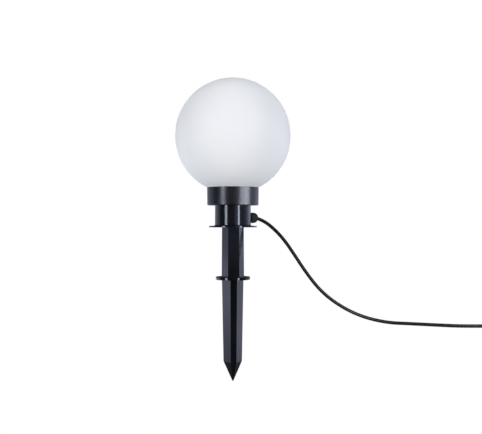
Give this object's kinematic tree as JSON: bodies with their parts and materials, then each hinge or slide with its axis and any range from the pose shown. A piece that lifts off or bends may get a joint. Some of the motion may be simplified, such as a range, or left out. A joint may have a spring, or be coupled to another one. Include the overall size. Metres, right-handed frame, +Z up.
{
  "type": "garden globe light",
  "caption": "Garden light: an opal globe on a round black base with a side cable gland, a hexagonal ground stake with a stop disc, and a coiled cord with a plug.",
  "frame": {"origin": "on the stake's axis at the level of the ground that the loose cord lies on", "axes": "+Z up along the stake, -Y towards the viewer, +X the side where the cord leaves, with the gland pointing 33 degrees from +X towards +Y"},
  "size_m": [0.7254, 0.2, 0.5259],
  "materials": {
    "opal": "gloss",
    "black_gloss": "gloss",
    "black_satin": "satin",
    "black_gland": "satin",
    "black_rubber": "satin",
    "white_moulding": "satin",
    "bulb_white": "gloss",
    "bulb_opal": "satin",
    "insulator_black": "gloss",
    "zinc_steel": "satin",
    "cap_aluminium": "satin",
    "contact_brass": "satin",
    "plated_pins": "polished",
    "wire_brown": "satin",
    "wire_blue": "satin",
    "tie_black": "matte"
  },
  "bodies": {
    "head": {"globe_seal": "black_rubber", "collar": "black_satin", "collar_gasket": "black_rubber", "collar_screws": "zinc_steel", "base_housing": "black_gloss", "gland_washer": "black_rubber", "gland_body": "black_gland", "gland_insert": "black_rubber", "gland_locknut": "black_gland", "lampholder_strap": "zinc_steel", "strap_screws": "zinc_steel", "lampholder_nipple": "zinc_steel", "nipple_nut": "zinc_steel", "lampholder_body": "white_moulding", "lampholder_core": "white_moulding", "lampholder_terminals": "contact_brass", "terminal_screws": "zinc_steel", "lampholder_sleeve": "zinc_steel", "lampholder_contact": "contact_brass", "wire_live": "wire_brown", "wire_neutral": "wire_blue", "cord_lead": "black_rubber", "cord_coil": "black_rubber", "cord_tail": "black_rubber", "cord_tie": "tie_black", "plug_body": "black_rubber", "plug_pins": "plated_pins"},
    "globe_body": {"globe": "opal"},
    "bulb": {"bulb_contact": "contact_brass", "bulb_insulator": "insulator_black", "bulb_cap": "cap_aluminium", "bulb_housing": "bulb_white", "bulb_diffuser": "bulb_opal", "bulb_led_board": "cap_aluminium"},
    "gland_nut_body": {"gland_nut": "black_gland"},
    "stake_body": {"stake": "black_gloss"}
  },
  "joints": [
    {"name": "globe_lift", "type": "slide", "parent": "head", "child": "globe_body", "axis": [0, 0, 1], "range_m": [0, 0.12]},
    {"name": "bulb_unscrew", "type": "hinge", "parent": "head", "child": "bulb", "pos_m": [0, 0, 0.2316], "axis": [0, 0, 1], "range_deg": [0, 1080]},
    {"name": "gland_nut_turn", "type": "hinge", "parent": "head", "child": "gland_nut_body", "pos_m": [0.03657, 0.02375, 0.19375], "axis": [0.8387, 0.5446, 0], "range_deg": [0, 540]},
    {"name": "stake_pull", "type": "slide", "parent": "head", "child": "stake_body", "axis": [0, 0, -1], "range_m": [0, 0.05]}
  ]
}
